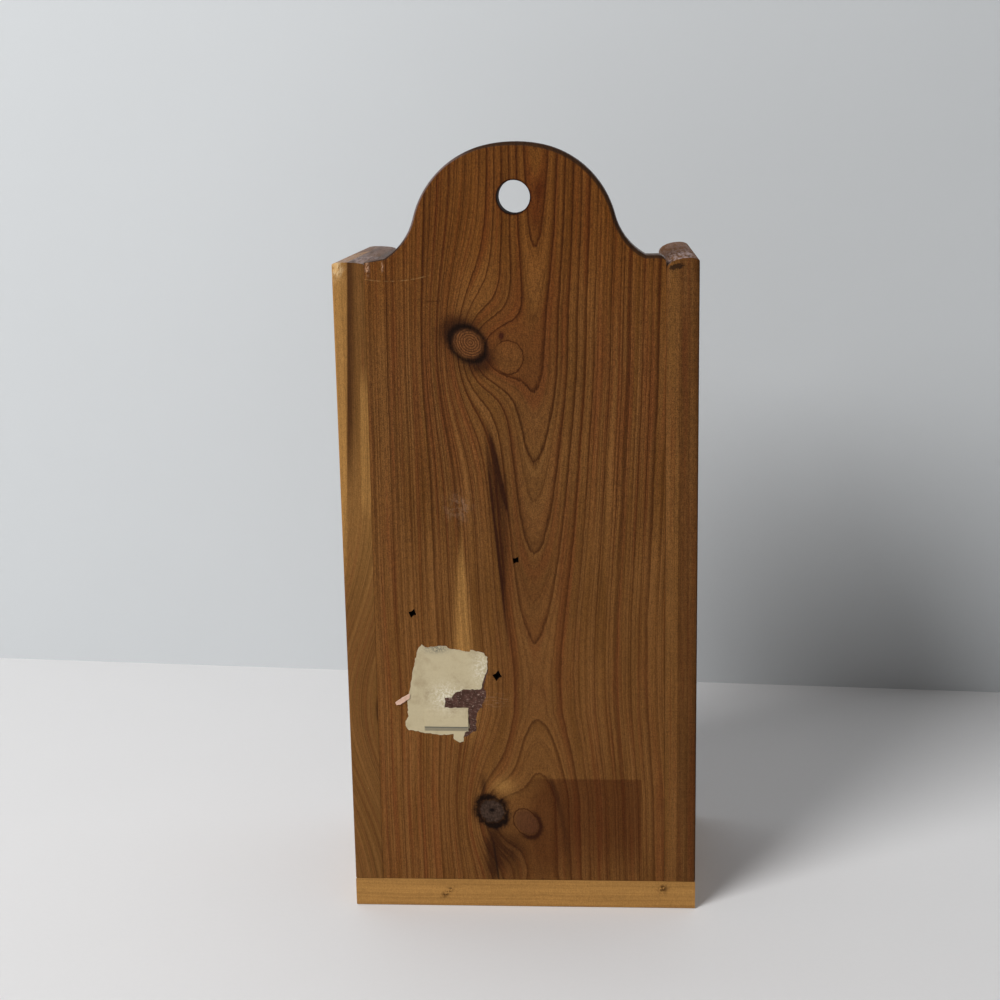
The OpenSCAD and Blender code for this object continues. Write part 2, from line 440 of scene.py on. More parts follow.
class Surface:
    """A material in the making. at is a point's place in the part's frame at rest."""

    def __init__(self, name, colour=None):
        self.material = bpy.data.materials.new(name)
        self.material.use_nodes = True
        self.tree = self.material.node_tree
        self.shader = self.tree.nodes["Principled BSDF"]
        self.colour = colour
        self.height = None
        where = self.tree.nodes.new("ShaderNodeTexCoord").outputs["Object"]
        self.at = [wire / MM for wire in self.split(where)]

    def split(self, vector):
        node = fed_node("ShaderNodeSeparateXYZ", (Wire(vector),))
        return [Wire(socket) for socket in node.outputs]

    def attribute(self, name):
        """A number that the mesh holds at each of its corners."""
        node = self.tree.nodes.new("ShaderNodeAttribute")
        node.attribute_name = name
        return Wire(node.outputs["Fac"])

    def facing_up(self):
        """One where the surface faces up, and nothing where it is upright."""
        normal = self.tree.nodes.new("ShaderNodeNewGeometry").outputs["Normal"]
        return step(self.split(normal)[2], 0.35, 0.75)

    def coat(self, colour, share, how="MIX"):
        """Lays a colour over the surface's own."""
        self.colour = blend(self.colour, colour, share, how)

    def lighten(self, level):
        self.colour = lit(self.colour, level)

    def finish(self, roughness, sheen, relief=0.0):
        """Feeds the shader. One unit of height stands as high as the relief."""
        feed(self.shader.inputs["Base Color"], self.colour)
        feed(self.shader.inputs["Roughness"], roughness)
        self.shader.inputs["Specular IOR Level"].default_value = sheen
        if self.height:
            node = self.tree.nodes.new("ShaderNodeBump")
            node.inputs["Strength"].default_value = 1.0
            node.inputs["Distance"].default_value = relief * MM
            feed(node.inputs["Height"], self.height)
            self.tree.links.new(node.outputs["Normal"], self.shader.inputs["Normal"])
        return self.material


# Cedar

HEART_PALE = paint(108, 71, 35)
HEART_DEEP = paint(84, 52, 19)
HEART_RED = paint(97, 53, 24)
HEART_GOLD = paint(126, 88, 47)
LATEWOOD = paint(48, 19, 2)
SAPWOOD = paint(160, 117, 63)
PURPLE = paint(42, 18, 5)
BARK = paint(17, 9, 6)
KNOT_HEART = paint(100, 62, 32)
KNOT_RING = paint(48, 23, 10)
KNOT_SPOT = paint(48, 16, 8)
LOOSE_HEART = paint(70, 53, 43)
BRANCH = paint(72, 42, 27)
CHIPPED = paint(190, 152, 100)
NICKED = paint(196, 158, 130)
SPLINTERED = paint(206, 178, 136)
CHALK = paint(150, 124, 104)
# Dark stain mixed with painted shade, for the arch's rounded edge
RIM_STAIN_AND_SHADE = paint(40, 27, 18)
HAND_STAIN = paint(58, 21, 3)
ARCH_STAIN = (0.93, 0.8, 0.57, 1.0)
# Dust mixed with a painted sheen, for the tops of the sides and the arch's left edge
DUST_AND_SHEEN = paint(155, 136, 132)

# Dark lines of each ring: place in the ring, strength, and width inside and outside
RING_LINES = [
    (0.0, 1.0, 0.36, 0.12),
    (0.07, 0.6, 0.2, 0.1),
    (0.3, 0.8, 0.26, 0.11),
    (0.53, 0.65, 0.2, 0.1),
    (0.76, 0.7, 0.22, 0.1),
]
# Added to the rings per millimetre, so that they are never nothing
LEAST_PACE = 0.015
# A board's wood at a point: ring count, rings per mm, way along the grain, fineness of lines
Figure = namedtuple("Figure", "ring pace along fine", defaults=(1.0,))


def ring_lines(uneven, wood, seed):
    """Dark lines of late wood, stronger in some years and fading along the grain."""
    darkest = 0.0
    outer = step(wood.ring, 6.0, 10.0)
    for place, weight, inside, outside in RING_LINES:
        count = uneven + (0.5 - place)
        year = op("FLOOR", count)
        luck = chance(year + seed + place)
        shift = 0.3 * (chance(year + seed + place + 0.5) - 0.5)
        if not place:
            shift = shift * outer
        gap = (op("FRACT", count) - 0.5 - shift) / (wood.pace * (1.6 - 0.6 * outer))
        line = exp(-square(either_side(gap * wood.fine, inside * (0.5 + 1.1 * luck), outside)))
        fade = noise((year * 1.7, wood.along * 0.03, seed + place), 1.0)
        strength = greater(0.25 + 0.9 * luck + 1.1 * fade, 0.0) * (1.4 - 0.4 * wood.fine)
        if place:
            strength = strength * (0.6 + 0.4 * outer)
        else:
            strength = strength + 0.5 * (1.0 - outer)
        darkest = greater(line * lesser(strength * weight, 1.0), darkest)
    return darkest


def cedar(face, wood, seed, contrast=1.0, sap=None, gloom=None):
    """Plain cedar, from its figure, with sapwood and a purple darkening mixed in; on the straight side that
    darkening also holds painted edge shade.
    """
    ring = wood.ring
    along = wood.along
    spread = step(ring, 5.0, 9.0)
    uneven = ring + 1.3 * spread * noise((ring * 0.42, seed, 0.5), 1.0)
    uneven = uneven + 0.16 * noise((ring * 0.9, along * 0.09, seed + 1.0), 3.0, 0.6)
    late = ring_lines(uneven, wood, seed)
    early = square(op("FRACT", uneven))
    fibre = noise((ring * 7.0, along * 0.05, seed + 5.0), 3.0, 0.65)
    dash = step(noise((ring * 6.0, along * 0.22, seed + 3.0), 2.0, 0.6), 0.1, 0.3)
    streak = noise((ring * 0.9, along * 0.012, seed + 7.0), 3.0, 0.6)
    cloud = noise((ring * 0.3, along * 0.025, seed + 11.0))
    warmth = noise((ring * 1.1, along * 0.015, seed + 17.0), 3.0, 0.6)
    gleam = step(noise((ring * 4.0, along * 0.03, seed + 23.0), 2.0, 0.6), 0.12, 0.3)
    tone = within(0.3 + 2.2 * streak + 1.2 * cloud + 0.25 * early, 1.0)
    face.colour = blend(HEART_PALE, HEART_DEEP, tone)
    face.coat(HEART_RED, step(warmth, -0.05, 0.2) * 0.7)
    face.coat(HEART_GOLD, gleam * 0.45)
    dark = lesser(0.8 * late + 0.24 * dash, 0.92) * contrast
    if sap:
        face.coat(SAPWOOD, sap)
        dark = dark * (1.0 - 0.4 * sap)
    face.coat(LATEWOOD, dark)
    face.lighten(1.0 + 0.5 * fibre)
    if gloom:
        face.coat(PURPLE, gloom)
    face.height = 0.5 * fibre - 0.6 * late - 0.2 * dash


def finish_wood(face, battered=0.0, bare=0.0, pored=1.0):
    """Worn edges, painted shade in old pits and nail recesses, fine pores and the sheen of the lacquer."""
    x, y, z = face.at
    pores = noise((x * 3.4, y * 3.4, z * 0.8), 2.0, 0.7)
    dots = noise((x * 3.6, y * 3.6, z * 3.6), 0.0)
    scuff = noise((x * 0.45, y * 0.45, z * 0.3), 3.0, 0.65)
    chips = face.attribute("rim") * step(scuff + battered, 0.26, 0.32)
    speckle = pores + 0.9 * dots
    face.lighten(1.0 + pored * (0.8 + 0.4 * step(z, 80.0, 140.0)) * speckle)
    face.coat(CHIPPED, chips * 0.7)
    # Painted shade: pits and nail recesses go near black towards their floors.
    face.coat(BARK, step(face.attribute("pit_shade"), 0.15, 0.7))
    wear = noise((x * 0.06, y * 0.06, z * 0.03), 3.0)
    roughness = lesser(0.46 + 0.25 * wear + 0.2 * chips + 0.5 * bare, 1.0)
    face.height = face.height + 0.3 * pores - chips
    return face.finish(roughness, sheen=0.06, relief=0.05)


def dust_and_sheen_top(face):
    """Old dust and scuffs on the top of a side, mixed with a painted sheen, thicker towards the wall."""
    x, y, z = face.at
    top = face.facing_up() * step(z, SIDE_HIGH.z - 4.5, SIDE_HIGH.z - 3.5)
    top = top * (0.35 + 0.65 * step(y, -10.0, 30.0))
    patchy = noise((x * 0.8, y * 0.1, z * 0.8), 4.0, 0.75)
    # The grey on up-facing surfaces is dust mixed with a painted sheen.
    face.coat(DUST_AND_SHEEN, top * within(0.4 + 3.6 * patchy, 0.9))
    specks = step(noise((x * 1.4, y * 0.16, z * 1.4), 2.0, 0.6), 0.04, 0.16)
    face.coat(LATEWOOD, top * specks * 0.7)


# Figure of the back board, over its rear face.
# Middle line of the arches, which leans both ways from the height where it bends
HEART_U = 4.2
HEART_LEAN = 0.016
HEART_BEND_Z = 95.0
# Spacing of the rings to the viewer's right and left, on the mean, into the board and along it
RING_RIGHT = 2.3
RING_LEFT = 2.0
RING_MEAN = 2.15
RING_DEEP = 2.2
RING_LONG = 24.0
# Peak of the arches: rings, height, bluntness, length of a ring above and below it, most rings lost
# below it, and fewest rings anywhere
PEAK_RINGS = 6.77
PEAK_Z = 74.0
PEAK_SOFT = 0.5
PEAK_ABOVE = 28.4
PEAK_BELOW = 16.8
PEAK_FLAT = 2.25
FEWEST_RINGS = 0.2
# Points of the arches, and the ragged edge of every ring
TIP_RINGS = 0.02
TIP_W = 0.6
RAGGED_RINGS = 0.16
# Places where the arches sag: rings, height and reach
SAGS = [(0.32, 135.0, 45.0), (0.42, 168.0, 15.0), (0.12, 210.0, 14.0)]
# Pulls of the grain towards the viewer's left: distance, u, z, reach left, right and up
PULLS = [
    (9.0, -15.0, 177.0, 10.0, 9.0, 27.0),
    (8.5, -4.0, 174.6, 9.0, 6.5, 10.0),
    (6.5, -13.0, 33.0, 9.0, 8.0, 24.0),
    (7.0, -4.5, 29.0, 8.0, 5.5, 10.0),
]
# Knots, rings in the upper one, and branches: middle, half sizes and turn in degrees
UPPER_KNOT = ((-13.9, 177.0), (5.4, 4.5), -42.0)
UPPER_RINGS = ((-13.2, 177.4), (1.0, 0.84), -42.0)
UPPER_BRANCH = ((-2.2, 172.9), (4.4, 5.0), 0.0)
LOWER_KNOT = ((-9.6, 31.9), (5.0, 4.5), -40.0)
LOWER_BRANCH = ((1.0, 28.2), (5.0, 3.6), -55.0)
# Soft patches: weight, middle and reach
UPPER_SMOKE = [(1.0, (-18.6, 182.2), (6.0, 5.2)), (1.0, (-9.0, 170.4), (4.6, 4.6))]
LOWER_SMEAR = [
    (1.2, (-9.6, 18.0), (2.6, 10.0)),
    (0.8, (-4.0, 19.0), (4.5, 7.5)),
    (0.9, (-12.2, 40.0), (0.9, 3.4)),
]
LOWER_BARK = [(1.0, (-7.0, 28.2), (4.0, 3.0)), (0.8, (-12.2, 36.4), (2.6, 2.6))]
# Lighter low on the viewer's left, and darker down the middle of the arches
TONE_PATCHES = [(0.2, (-32.0, 45.0), (20.0, 60.0)), (-0.24, (3.0, 125.0), (8.0, 60.0))]
ARCH_GRIME = [(0.6, (7.4, 221.0), (1.6, 3.2)), (0.5, (6.7, 213.0), (1.9, 7.5))]
ARCH_CHIPS = [(1.0, (-28.8, 213.3), (1.0, 1.4)), (1.0, (-20.5, 225.5), (1.2, 1.0))]
SEAM_NICKS = [(1.0, (-42.6, 199.2), (0.5, 1.6)), (1.0, (-38.2, 199.4), (0.25, 1.1))]


def grain_pull(u, z):
    """How far the knots draw the grain aside, and its change along u and z."""
    pull = 0.0
    slope_u = 0.0
    slope_z = 0.0
    for distance, at_u, at_z, left, right, up in PULLS:
        sideways = either_side(u - at_u, left, right)
        here = distance * exp(-(square(sideways) + square((z - at_z) / up)))
        pull = here + pull
        slope_u = here * either_side(u - at_u, left ** 2, right ** 2) * -2.0 + slope_u
        slope_z = here * (z - at_z) * (-2.0 / up ** 2) + slope_z
    return pull, slope_u, slope_z


def back_figure(u, depth, z):
    """Nested arches of grain that bend round two knots."""
    pull, slope_u, slope_z = grain_pull(u, z)
    middle = HEART_U + HEART_LEAN * op("ABSOLUTE", z - HEART_BEND_Z)
    across = either_side(u + pull - middle, RING_LEFT, RING_RIGHT)
    above = root(PEAK_SOFT ** 2 + square((z - PEAK_Z) / PEAK_ABOVE))
    below = lesser(greater(PEAK_Z - z, 0.0) / PEAK_BELOW, PEAK_FLAT)
    down = PEAK_RINGS - greater(above, below) + depth / RING_DEEP
    for rings, at_z, reach in SAGS:
        down = down - rings * thread(z - at_z, reach)
    down = greater(down, FEWEST_RINGS)
    tip = TIP_RINGS * exp(op("ABSOLUTE", across) / -TIP_W)
    ragged = RAGGED_RINGS * noise((u * 0.9, z * 0.16, 33.0), 4.0, 0.65)
    ring = root(square(across) + square(down)) - tip + ragged
    turn_u = across * (1.0 + slope_u) / RING_MEAN
    turn_z = across * slope_z / RING_MEAN - down * op("SIGN", z - PEAK_Z) / RING_LONG
    pace = root(square(turn_u) + square(turn_z)) / ring + LEAST_PACE
    fine = 1.0 + 0.85 * bell(u, z, (-10.0, 182.0), (10.0, 28.0))
    return Figure(ring, pace, z, fine)


def slanted(z, at, slope):
    """The u of a line through a place, which goes on by the slope for each step down."""
    return slope * (at[1] - z) + at[0]


def dark_streak(u, z, grain):
    """Purple mineral streak below the upper knot, with a black line down each side."""
    left = slanted(z, (-9.9, 152.0), 0.094)
    crossing = slanted(z, (-7.7, 148.6), 0.21)
    right = lesser(crossing + 1.2, -3.4) - 0.12 * greater(112.0 - z, 0.0)
    body = step(u, left - 0.5, left + 0.5) * step(u, right + 1.2, right - 1.2) * window(z, 95.0, 149.0, 8.0)
    upper = thread(u - crossing, 0.55) * window(z, 127.0, 150.0, 6.0)
    lower = thread(u - left, 0.45) * window(z, 88.0, 140.0, 10.0)
    return body * greater(0.66 + 1.6 * grain, 0.1) + 0.9 * upper + 0.85 * lower


def pale_streak(u, z):
    """Sapwood tongue above the label, wider towards its foot."""
    width = 0.5 + 0.06 * greater(120.0 - z, 0.0)
    return thread(u + 17.4, width) * window(z, 60.0, 116.0, 8.0)


def hand_stain(u, z):
    """Dark block low on the viewer's right, and a reddish spill beside the lower knot."""
    block = step(u, 0.0, 9.0) * step(u, 36.8, 36.0) * step(z, 43.0, 42.2) * step(z, 4.0, 26.0)
    spill = bell(u, z, (4.0, 24.0), (8.0, 19.0)) * step(z, 44.0, 34.0)
    return lesser(0.52 * block + 0.45 * spill, 0.6)


def knot_radius(u, z, knot, ragged):
    """Distance from a knot's middle, where 1 is the outside of its bark."""
    at, half, turn = knot
    cosine = math.cos(math.radians(turn))
    sine = math.sin(math.radians(turn))
    side = (u - at[0]) * cosine + (z - at[1]) * sine
    rise = (z - at[1]) * cosine - (u - at[0]) * sine
    reach = root(square(side / half[0]) + square(rise / half[1]))
    return reach + ragged * noise((u * 0.5, z * 0.5, 2.0), 3.0, 0.6)


def upper_knot(face, u, z, grain):
    """Sound knot: a brown ringed heart, a soft black bark ring and a smoky halo."""
    reach = knot_radius(u, z, UPPER_KNOT, 0.12)
    smoke = patches(u, z, UPPER_SMOKE)
    halo = step(reach, 2.4, 1.0) * (0.2 + 1.2 * smoke) * (1.0 + 1.6 * grain)
    face.coat(PURPLE, within(halo, 0.8))
    rings = op("FRACT", knot_radius(u, z, UPPER_RINGS, 0.8) * 1.25)
    heart = blend(KNOT_HEART, KNOT_RING, step(rings, 0.3, 0.8) * step(rings, 1.0, 0.85) * 0.8)
    heart = lit(heart, 1.0 + 1.1 * noise((u * 1.8, z * 1.8, 6.0), 3.0, 0.7))
    inside = step(reach, 0.94, 0.74)
    face.coat(heart, inside)
    flaky = noise((u * 1.2, z * 1.2, 19.0), 3.0, 0.7)
    bark = thread(reach - 1.02 - 0.06 * smoke, 0.18 + 0.05 * smoke)
    face.coat(BARK, within(bark * (0.8 + 0.25 * smoke + 0.8 * flaky), 0.93))
    face.coat(BARK, window(reach, 0.76, 0.79, 0.03) * 0.45)
    spot = bell(u, z, (-4.1, 179.2), (0.75, 1.15))
    face.coat(KNOT_SPOT, lesser(spot * 1.3, 0.85))
    face.height = face.height - 1.5 * bark - 0.4 * inside * square(rings)
    return bark


def lower_knot(face, u, z, grain):
    """Loose knot: a ragged black ring, a cracked dark heart and smears below it."""
    reach = knot_radius(u, z, LOWER_KNOT, 0.5)
    face.coat(PURPLE, within(patches(u, z, LOWER_SMEAR) * (0.9 + 2.0 * grain), 0.85))
    crack = thread(u + 9.0 - 0.12 * (18.0 - z), 0.35) * window(z, 8.0, 22.0, 3.0)
    face.coat(BARK, crack * 0.7)
    glow = bell(u, z, (-5.8, 40.0), (3.4, 2.8))
    face.coat(SAPWOOD, glow * (0.5 + grain))
    fleck = noise((u * 1.1, z * 1.1, 9.0), 3.0, 0.7)
    heart = blend(LOOSE_HEART, BARK, within(0.35 + 2.2 * fleck, 1.0))
    eye = bell(u, z, (-9.7, 32.3), (0.9, 0.6))
    heart = blend(heart, BARK, lesser(eye * 1.4, 1.0))
    inside = step(reach, 0.92, 0.7)
    face.coat(heart, inside)
    heavy = patches(u, z, LOWER_BARK)
    flaky = noise((u, z, 29.0), 3.0, 0.7)
    bark = window(reach + 0.5 * flaky, 0.76, 1.1 + 0.25 * heavy + 0.5 * grain, 0.2)
    smoke = step(reach, 1.7, 0.9) * (0.5 + 0.4 * heavy + 1.2 * grain)
    face.coat(PURPLE, within(smoke * (1.0 - inside), 0.8))
    face.coat(BARK, bark * 0.95)
    face.height = face.height - 1.6 * bark - 0.8 * inside
    return bark


def purple_vein(face, u, z):
    """Dark edge of the lowest arch, where it runs down beside the lower knot."""
    path = 4.4 + 2.9 * greater(44.9 - z, 0.01) ** 0.35
    vein = thread(u - path, 0.9) * step(z, 44.5, 41.0) * step(z, 2.0, 38.0)
    face.coat(PURPLE, vein * 0.6)


def branch_oval(face, u, z, branch, tint, share, opening, heavy):
    """A branch cut on the slant: open to the viewer's left, and heavy low on the right."""
    at, half, _ = branch
    reach = knot_radius(u, z, branch, 0.25)
    face.coat(tint, step(reach, 1.1, 0.7) * share)
    shown = step(u, at[0] - half[0] * opening, at[0] - half[0] * (opening - 0.5))
    face.coat(LATEWOOD, window(reach, 0.95, 1.03, 0.04) * shown * 0.85)
    low_right = step((u - at[0]) - 0.5 * (z - at[1]), -2.0, 3.0)
    face.coat(PURPLE, thread(reach - 1.08, 0.2) * low_right * heavy)


def scratches(face, u, z, rear):
    """Pale arc-shaped scratch, a short dark tick and two chalky rubs."""
    line = thread(z - 195.4 - 0.012 * square(u + 36.0), 0.14) * window(u, -50.0, -25.0, 1.5)
    tick = thread(z - 189.5, 0.14) * window(u, -25.8, -21.4, 0.4)
    broken = step(noise((u * 0.5, z * 0.5, 21.0)), -0.15, 0.15)
    face.coat(CHIPPED, line * broken * rear * 0.28)
    face.coat(LATEWOOD, tick * rear * 0.7)
    patchy = step(noise((u * 0.4, z * 0.4, 4.0), 4.0, 0.75), -0.1, 0.2)
    rub = bell(u, z, (-18.0, 128.3), (3.4, 3.4)) * patchy
    lines = step(noise((u * 0.3, z * 2.6, 5.0), 2.0, 0.6), 0.0, 0.25)
    rub = greater(rub, 1.1 * bell(u, z, (-8.5, 68.0), (4.5, 1.9)) * lines)
    face.coat(CHALK, rub * rear * 0.45)


def arch_edge_stain_shade_sheen(face, u, z, rear):
    """Edge of the arch: a stain and painted shade all round, and a painted pale sheen to the viewer's left.
    """
    edge = face.attribute("rim") * step(z, SHOULDER_Z - 6.0, SHOULDER_Z)
    # Dark rim: a real stain mixed with painted shade on the rounded edge and on the wall of the hanging
    # hole.
    face.coat(RIM_STAIN_AND_SHADE, edge * (0.5 + 0.35 * rear))
    # Pale grey on the edge to the viewer's left is a painted sheen.
    left_sheen = edge * step(u, -10.0, -22.0) * step(z, SHOULDER_Z + 2.0, SHOULDER_Z + 8.0)
    face.coat(DUST_AND_SHEEN, left_sheen * 0.35)


def frayed(face, u, z, rear):
    """Pale frayed fibres on the arch and torn nicks at the shoulder."""
    fluff = noise((u * 0.9 + z * 0.7, z * 0.3 - u * 0.35, 40.0), 3.0, 0.7)
    face.coat(CHIPPED, step(fluff, 0.2, 0.27) * step(z, 175.0, 195.0) * rear * 0.3)
    ragged = step(noise((u * 1.4, z * 1.1, 2.0)), -0.12, 0.08)
    nicks = lesser(patches(u, z, SEAM_NICKS), 1.0)
    face.coat(NICKED, nicks * ragged * rear * 0.75)


def back_material():
    """Arched grain with two knots, streaks, stains and scratches."""
    face = Surface("cedar_back")
    x, y, z = face.at
    u = -x
    rear = step(y, WALL_Y - 3.0, WALL_Y - 0.6)
    wood = back_figure(u, WALL_Y - y, z)
    grain = noise((wood.ring * 2.5, z * 0.07, 6.0), 3.0, 0.65)
    gloom = lesser(dark_streak(u, z, grain), 0.97)
    contrast = 0.72 + 0.28 * step(z, 85.0, 150.0)
    cedar(face, wood, 3.0, contrast, pale_streak(u, z) * 0.75, gloom)
    face.lighten(1.08 + patches(u, z, TONE_PATCHES))
    face.coat(ARCH_STAIN, step(z, 165.0, 215.0), "MULTIPLY")
    hollow = root(square(u) + square(z - HOLE_Z)) + 0.5 * noise((u * 0.8, z * 0.8, 3.0))
    grime = patches(u, z, ARCH_GRIME) + 0.7 * step(hollow, HOLE_R + 0.9, HOLE_R + 0.1)
    face.coat(HAND_STAIN, lesser(grime + hand_stain(u, z) * rear, 0.75))
    purple_vein(face, u, z)
    branch_oval(face, u, z, UPPER_BRANCH, HEART_PALE, share=0.25, opening=0.9, heavy=0.0)
    branch_oval(face, u, z, LOWER_BRANCH, BRANCH, share=0.6, opening=1.2, heavy=0.95)
    upper_bark = upper_knot(face, u, z, grain)
    lower_bark = lower_knot(face, u, z, grain)
    scratches(face, u, z, rear)
    arch_edge_stain_shade_sheen(face, u, z, rear)
    bore = step(hollow, HOLE_R + 0.45, HOLE_R + 0.1)
    face.coat(BARK, bore * 0.8)
    frayed(face, u, z, rear)
    battered = 0.3 * patches(u, z, ARCH_CHIPS) * rear
    return finish_wood(face, battered, lesser(bore + upper_bark + lower_bark, 1.0))


# Knotty side: height of the knot at its seam, swing of the grain, its reach, and ring spacing
SEAM_KNOT_Z = 64.7
SWING = 16.0
SWING_UP = 38.0
SWING_DEEP = 30.0
KNOTTY_RING = 1.6


def knotty_side_material():
    """Side at the viewer's left: sapwood outside, and grain that swings round a knot."""
    face = Surface("cedar_knotty_side")
    x, y, z = face.at
    inside = x - INNER_X
    depth = WALL_Y - y
    swing = SWING * thread(z - SEAM_KNOT_Z, SWING_UP) * thread(depth, SWING_DEEP)
    slope = swing * (z - SEAM_KNOT_Z) * (-2.0 / SWING_UP ** 2)
    ring = (inside - swing + 0.25 * depth + 60.0) / KNOTTY_RING
    wood = Figure(ring, root(1.0 + square(slope)) / KNOTTY_RING, z)
    wander = noise((z * 0.02, 4.0, y * 0.02))
    sap_edge = 5.0 + 0.036 * (200.0 - z) + wander
    ragged = ring + 1.2 * noise((ring * 0.5, z * 0.02, 8.0), 3.0, 0.6)
    sap = step(inside, sap_edge - 0.3, sap_edge + 0.3) * step(ring, 38.0, 42.6) * step(ragged, 49.0, 48.0)
    broad = 0.03 * (160.0 - z) + 2.2
    wedge = step(inside, broad + 0.9, broad) * window(z, 124.0, 168.0, 8.0) * step(depth, 26.0, 10.0) * 0.8
    tan = (0.16 + 0.28 * window(z, 105.0, 152.0, 22.0)) * step(depth, 30.0, 8.0)
    dark = exp(-square(either_side(inside - sap_edge + 0.3, 1.8, 0.25))) * step(z, 125.0, 160.0)
    sap = lesser(greater(sap, greater(wedge, tan * (1.0 - dark))), 1.0)
    cedar(face, wood, 12.0, 0.5, sap * 0.85, dark * 0.62)
    knot = root(square(inside / 1.3) + square((z - SEAM_KNOT_Z) / 5.0))
    face.coat(PURPLE, step(knot, 1.3, 0.6) * step(depth, 6.0, 1.0) * 0.7)
    dust_and_sheen_top(face)
    corner = bell(inside, z, (8.6, 199.2), (1.9, 2.4)) * step(depth, 5.0, 1.0)
    crushed = lesser(1.4 * corner, 1.0)
    fibres = noise((x * 1.6 + z * 0.4, y * 1.6, z * 0.5 + x * 0.3), 3.0, 0.7)
    face.coat(SPLINTERED, crushed * step(fibres, -0.1, 0.1) * 0.85)
    face.coat(PURPLE, crushed * step(fibres, -0.06, -0.2) * 0.7)
    face.height = face.height - 2.0 * corner * fibres
    return finish_wood(face, 0.3 * corner, pored=0.6)


def straight_side_material():
    """Side at the viewer's right: a pale band along the seam, then rippled redder wood, with painted shade
    along its outer rear edge.
    """
    face = Surface("cedar_straight_side")
    x, y, z = face.at
    inside = -x - INNER_X
    depth = WALL_Y - y
    wander = 0.6 * noise((z * 0.015, 9.0, y * 0.02))
    ring = root(square((inside + 30.0 + wander) / 2.2) + square((depth + 12.0) / 3.0))
    pale = window(inside, -2.0, 3.6 + wander, 0.6) * step(depth, 14.0, 6.0)
    seam = thread(inside - 3.9 - wander, 0.2) * (0.6 + noise((z * 0.05, 3.0, 7.0)))
    ripple = noise((x * 0.2, y * 0.2, z * 2.0)) * (1.0 - face.facing_up())
    # Darker wood beyond the pale band, and painted shade on the rounded outer rear edge.
    dark_band_and_edge_shade = (0.28 * step(inside, 3.6, 4.6) + 0.3 * step(inside, 8.4, 9.6)) * step(depth, 12.0, 2.0)
    gloom = lesser(seam * 0.4 + dark_band_and_edge_shade, 0.6)
    cedar(face, Figure(ring, 0.42, z), 23.0, 0.6, pale * 0.05, gloom)
    face.lighten(1.0 + 0.4 * ripple)
    dust_and_sheen_top(face)
    torn_end = bell(inside - 0.9 * (z - 198.4), z, (2.8, 198.5), (2.2, 1.1)) * step(depth, 3.0, 0.5)
    ragged = noise((x * 2.2, y, z * 1.6), 3.0, 0.75)
    face.coat(BARK, step(torn_end * (1.0 + 2.8 * ragged), 0.34, 0.64) * 0.8)
    face.height = face.height + 0.4 * ripple
    return finish_wood(face, bare=face.facing_up())


# Plain arches of the front and lid: bluntness, fewest rings, and ring spacing in depth
ARCH_SOFT = 0.4
ARCH_LEAST = 0.3
ARCH_DEEP = 2.4


def arched(sideways, along, depth, peak, middle, reach, spacing, length):
    """Nested arches: rings at their peak, its place along the grain, and its reach both ways."""
    arch = peak - root(ARCH_SOFT + square(either_side(along - middle, *reach)))
    across = sideways / spacing
    down = greater(arch, ARCH_LEAST) + depth / ARCH_DEEP
    ring = root(square(across) + square(down))
    pace = root(square(across / spacing) + square(down / length)) / ring + LEAST_PACE
    return Figure(ring, pace, along)


def front_material():
    """Arched grain that swells round a hidden knot."""
    face = Surface("cedar_front")
    x, y, z = face.at
    swell = 7.0 * bell(x, z, (22.0, 128.0), (12.0, 26.0))
    wander = 5.0 * noise((z * 0.009, 3.0, 1.0))
    sideways = x + 6.0 + swell + wander
    wood = arched(sideways, z, y - FRONT_LOW.y, peak=5.2, middle=60.0, reach=(30.0, 36.0),
                  spacing=2.2, length=30.0)
    cedar(face, wood, 31.0)
    return finish_wood(face)


def lid_material():
    """Arched grain that runs across the box."""
    face = Surface("cedar_lid")
    x, y, z = face.at
    wander = 4.0 * noise((x * 0.012, 6.0, 2.0))
    wood = arched(y + 9.0 + wander, x, LID_HIGH.z - z, peak=4.6, middle=9.0, reach=(24.0, 19.0),
                  spacing=2.1, length=22.0)
    cedar(face, wood, 43.0, 0.9)
    return finish_wood(face)


def bottom_material():
    """Pale straight-grained stock with a few dark nicks in its rear edge."""
    face = Surface("pale_cedar")
    x, y, z = face.at
    wander = 3.0 * noise((x * 0.012, y * 0.02, 8.0))
    ring = root(square((z + 22.0 + 0.3 * wander) / 1.6) + square((y + 60.0 + wander) / 3.6))
    sap = 0.97 + 0.4 * noise((x * 0.02, y * 0.03, z * 0.3), 3.0)
    cedar(face, Figure(ring, 0.6, x), 57.0, 0.45, sap)
    slant = bell(-x - z, z - x, (-28.8, -19.6), (1.1, 3.2))
    nick = 1.2 * slant + bell(-x, z, (43.0, 6.6), (1.5, 1.4))
    ragged = step(noise((x * 1.2, y, z * 1.2)), -0.15, 0.1)
    face.coat(LATEWOOD, lesser(nick * ragged, 0.8) * step(y, WALL_Y - 2.0, WALL_Y - 0.5))
    return finish_wood(face, pored=0.6)


# Boards

